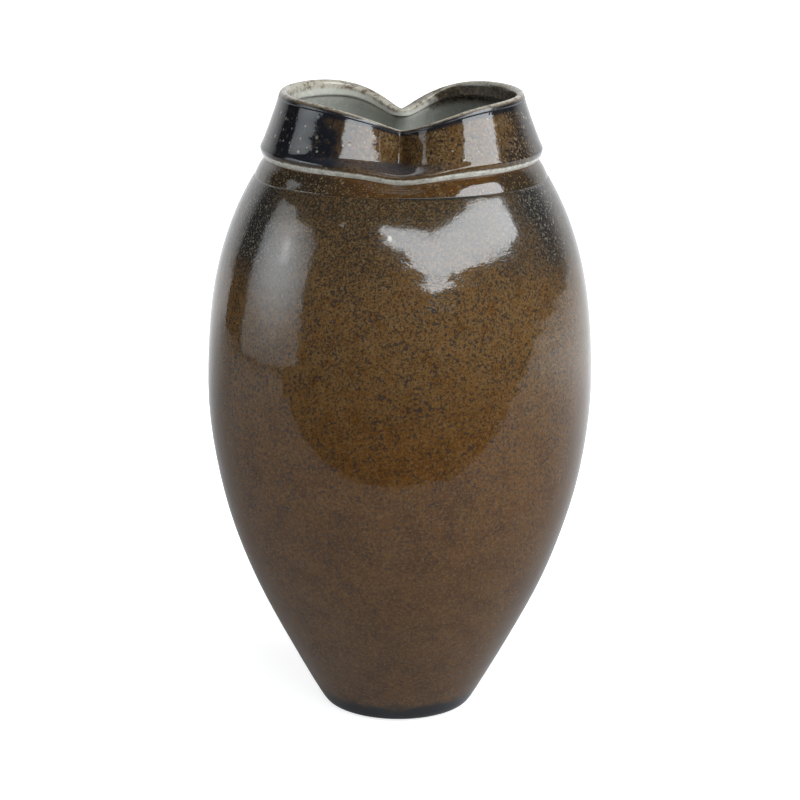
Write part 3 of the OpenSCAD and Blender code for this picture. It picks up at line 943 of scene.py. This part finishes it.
FINISHES = {
    "fired_clay": bare_clay("fired_clay", TOASTED),
    "fired_slip": bare_clay("fired_slip", (0.30, 0.25, 0.19)),
    "speckled_brown_glaze": speckled_brown(),
    "amber_glaze": amber_glaze(),
    "dark_iron_glaze": dark_iron(),
    "pale_liner_glaze": pale_liner(),
    "pale_rim_glaze": pale_rim(),
}

SLOTS = {row["node"]: row["material_slot"] for row in frame["record"]["subparts"]}


def stand_for(piece, node):
    """The piece rides on the only body, replaces its CAD node and takes that node's finish."""
    piece.data.materials.append(FINISHES[SLOTS[node]])
    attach(piece, "root")
    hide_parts(node)


stand_for(build_body_clay(), "body")
stand_for(build_joint_slip(), "joint_slip")
stand_for(build_collar_clay(), "collar")
stand_for(build_seam_coil(), "seam_coil")
stand_for(build_body_glaze(), "body_glaze")
stand_for(build_seam_glaze(), "seam_glaze")
stand_for(build_collar_coat("collar_glaze_coat", 0, OUTER_ROWS + 1), "collar_glaze")
stand_for(build_body_liner(), "body_liner")
stand_for(build_collar_coat("collar_liner_coat", OUTER_ROWS, len(COLLAR_FACE)), "collar_liner")

# ---------------------------------------------------------------- studio

CARD_ROUGHNESS = 0.9
WINDOW_LIGHT = 8.9
SIDE_LIGHT = 3.8
HOT_SPOT_LIGHT = 4.2
SIDE_CARD_X = -0.95
SHEET_REACH = 9


def plain_surface(name, colour, glow=0.0):
    """A flat finish for the floor and the studio cards."""
    m = bpy.data.materials.new(name)
    m.use_nodes = True
    s = m.node_tree.nodes["Principled BSDF"]
    s.inputs["Base Color"].default_value = (*colour, 1)
    s.inputs["Roughness"].default_value = CARD_ROUGHNESS
    s.inputs["Specular IOR Level"].default_value = 0.0
    s.inputs["Emission Color"].default_value = (*colour, 1)
    s.inputs["Emission Strength"].default_value = glow
    return m


def card(name, corners, material):
    """A flat studio card with the given corners, in metres."""
    mesh = bpy.data.meshes.new(name)
    mesh.from_pydata([tuple(map(float, c)) for c in corners], [], [tuple(range(len(corners)))])
    mesh.materials.append(material)
    obj = bpy.data.objects.new(name, mesh)
    bpy.context.collection.objects.link(obj)
    return obj


def seen_by(obj, *rays):
    """The staged object shows only to the named kinds of ray."""
    for ray in ("camera", "diffuse", "glossy", "shadow", "transmission"):
        setattr(obj, "visible_" + ray, ray in rays)


def ranged(tree, value, low, high, to_low, to_high):
    """Smooth step of an output of a node tree, from low to high."""
    n = tree.nodes.new("ShaderNodeMapRange")
    n.interpolation_type = "SMOOTHSTEP"
    for socket, v in zip(list(n.inputs)[1:], (low, high, to_low, to_high)):
        socket.default_value = v
    tree.links.new(value, n.inputs[0])
    return n.outputs[0]


def floor_paint():
    """Pale floor whose own glow grows with distance from the vase, so that it stays even."""
    m = plain_surface("floor_paint", (0.80, 0.80, 0.80), glow=1.0)
    t = m.node_tree
    shader = t.nodes["Principled BSDF"]
    shader.inputs["Base Color"].default_value = (0.45, 0.45, 0.45, 1)
    place = t.nodes.new("ShaderNodeTexCoord")
    far = t.nodes.new("ShaderNodeVectorMath")
    far.operation = "LENGTH"
    t.links.new(place.outputs["Object"], far.inputs[0])
    glow = ranged(t, far.outputs["Value"], 0.03, 0.30, 1.00, 1.45)
    t.links.new(glow, shader.inputs["Emission Strength"])
    return m


def bounce_paint():
    """Duller floor for bounce and gloss, with a glow that grows behind the vase and to its right."""
    m = plain_surface("bounce_paint", (0.46, 0.47, 0.48), glow=1.0)
    t = m.node_tree
    place = t.nodes.new("ShaderNodeTexCoord")
    lean = t.nodes.new("ShaderNodeVectorMath")
    lean.operation = "DOT_PRODUCT"
    lean.inputs[1].default_value = (0.35, 0.94, 0)
    t.links.new(place.outputs["Object"], lean.inputs[0])
    glow = ranged(t, lean.outputs["Value"], 0.05, 0.75, 0.0, 2.0)
    t.links.new(glow, t.nodes["Principled BSDF"].inputs["Emission Strength"])
    return m


def sheet_at(z, far=SHEET_REACH):
    """Corners of a wide level sheet that ends at the depth far."""
    near, side = -SHEET_REACH, SHEET_REACH
    return [(-side, near, z), (side, near, z), (side, far, z), (-side, far, z)]


# The floor is seen by the camera. A duller copy just under it gives the bounce and the gloss, black
# cloth hides that copy in front of the vase, and a black flag stands behind it on the left
CLOTH_EDGE_Y = -0.27
floor = card("floor", sheet_at(0), floor_paint())
seen_by(floor, "camera")
bounce = card("floor_bounce", sheet_at(-0.001), bounce_paint())
seen_by(bounce, "diffuse", "glossy")
flag = card(
    "left_flag",
    [(-0.97, 0.24, 0.04), (-0.82, 0.57, 0.04), (-0.82, 0.57, 0.66), (-0.97, 0.24, 0.66)],
    plain_surface("flag_black", (0.03, 0.027, 0.025))
)
seen_by(flag, "glossy")
cloth = card(
    "front_cloth", sheet_at(-0.0005, CLOTH_EDGE_Y), plain_surface("cloth_black", (0.02, 0.019, 0.018))
)
seen_by(cloth, "glossy")


def bearing(azimuth, elevation):
    """Unit vector: azimuth 0 looks towards -Y and 90 towards +X, elevation is above the floor."""
    a, e = math.radians(azimuth), math.radians(elevation)
    return np.array([math.sin(a) * math.cos(e), -math.cos(a) * math.cos(e), math.sin(e)])


def window_panel():
    """The main soft light: a bent strip of window high on the right, drawn on a plane square to its
    own bearing, as shares of its distance."""
    middle = np.array([0.02, -0.06, 0.21])
    out = bearing(40, 30)
    across = bearing(130, 0)
    over = np.cross(out, across)
    reach = 1.4
    shape = [
        (-1.08, 0.47), (-0.36, -0.25), (0.72, -0.11), (1.08, 0.05),
        (0.92, 0.40), (0.38, 0.35), (-0.04, 0.15), (-0.27, 0.11), (-0.90, 0.47)
    ]
    corners = [middle + reach * (out + u * across + v * over) for u, v in shape]
    glass = plain_surface("window_glow", (0.90, 0.955, 1.0), glow=WINDOW_LIGHT)
    return card("window_panel", corners, glass)


def side_glow():
    """Left card's light: a soft oval, brightest above its middle, with a small hot spot."""
    m = plain_surface("side_card_glow", (0.95, 0.98, 1.0), glow=1.0)
    t = m.node_tree
    place = t.nodes.new("ShaderNodeTexCoord")

    def oval(centre, radii, level):
        shift = t.nodes.new("ShaderNodeVectorMath")
        shift.operation = "SUBTRACT"
        t.links.new(place.outputs["Object"], shift.inputs[0])
        shift.inputs[1].default_value = (SIDE_CARD_X, *centre)
        scale = t.nodes.new("ShaderNodeVectorMath")
        scale.operation = "DIVIDE"
        t.links.new(shift.outputs[0], scale.inputs[0])
        scale.inputs[1].default_value = (1.0, *radii)
        length = t.nodes.new("ShaderNodeVectorMath")
        length.operation = "LENGTH"
        t.links.new(scale.outputs[0], length.inputs[0])
        return ranged(t, length.outputs["Value"], 0.0, 1.0, level, 0.0)

    wide = oval((-0.15, 0.45), (0.55, 0.42), SIDE_LIGHT)
    spot = oval((-0.15, 0.51), (0.10, 0.10), HOT_SPOT_LIGHT)
    both = t.nodes.new("ShaderNodeMath")
    t.links.new(wide, both.inputs[0])
    t.links.new(spot, both.inputs[1])
    t.links.new(both.outputs[0], t.nodes["Principled BSDF"].inputs["Emission Strength"])
    return m


window = window_panel()
side_card = card(
    "side_card",
    [(SIDE_CARD_X, y, z) for y, z in ((-0.55, 0.02), (0.25, 0.02), (0.25, 0.72), (-0.55, 0.72))],
    side_glow()
)
for panel in (window, side_card):
    seen_by(panel, "diffuse", "glossy", "shadow")

# World: white behind the vase, dark elsewhere, plain white to the camera itself
world = bpy.data.worlds.new("studio")
world.use_nodes = True
bpy.context.scene.world = world
wt = world.node_tree
sky = wt.nodes["Background"]
direction = wt.nodes.new("ShaderNodeTexCoord")
axes = wt.nodes.new("ShaderNodeSeparateXYZ")
wt.links.new(direction.outputs["Generated"], axes.inputs[0])


def sky_maths(operation, a, b):
    """Result of a maths node of the world: b may be a number."""
    n = wt.nodes.new("ShaderNodeMath")
    n.operation = operation
    wt.links.new(a, n.inputs[0])
    if isinstance(b, float):
        n.inputs[1].default_value = b
    else:
        wt.links.new(b, n.inputs[1])
    return n.outputs[0]


backwards = ranged(wt, axes.outputs["Y"], 0.50, 0.80, 0.0, 0.95)
not_upwards = ranged(wt, axes.outputs["Z"], 0.55, 0.80, 1.0, 0.15)
behind = sky_maths("MULTIPLY", backwards, not_upwards)
ambient = sky_maths("ADD", behind, 0.05)
seen = wt.nodes.new("ShaderNodeLightPath")
plain = sky_maths("MAXIMUM", ambient, seen.outputs["Is Camera Ray"])
wt.links.new(plain, sky.inputs["Color"])
sky.inputs["Strength"].default_value = 1.0

# Camera: about a metre in front, looking down on the vase, turned a hair about its own axis
DISTANCE = 1.0
EYE_X = 0.0002
EYE_Z = 0.390
PITCH = math.radians(14.522)
ROLL = math.radians(0.43)
FOCAL_SHARE = 3.1032
SENSOR = 36.0

lens = bpy.data.cameras.new("camera")
lens.sensor_width = SENSOR
lens.lens = FOCAL_SHARE * SENSOR
lens.clip_end = 50
camera = bpy.data.objects.new("camera", lens)
bpy.context.collection.objects.link(camera)
bpy.context.scene.camera = camera
forward = np.array([0, math.cos(PITCH), -math.sin(PITCH)])
right = np.array([1.0, 0, 0])
upward = np.cross(right, forward)
turned_right = right * math.cos(ROLL) + upward * math.sin(ROLL)
turned_up = upward * math.cos(ROLL) - right * math.sin(ROLL)
pose = Matrix.Identity(4)
for row in range(3):
    pose[row][0] = turned_right[row]
    pose[row][1] = turned_up[row]
    pose[row][2] = -forward[row]
pose[0][3] = EYE_X
pose[1][3] = -DISTANCE
pose[2][3] = EYE_Z
camera.matrix_world = pose

scene = bpy.context.scene
scene.view_settings.view_transform = "Standard"
scene.view_settings.look = "None"
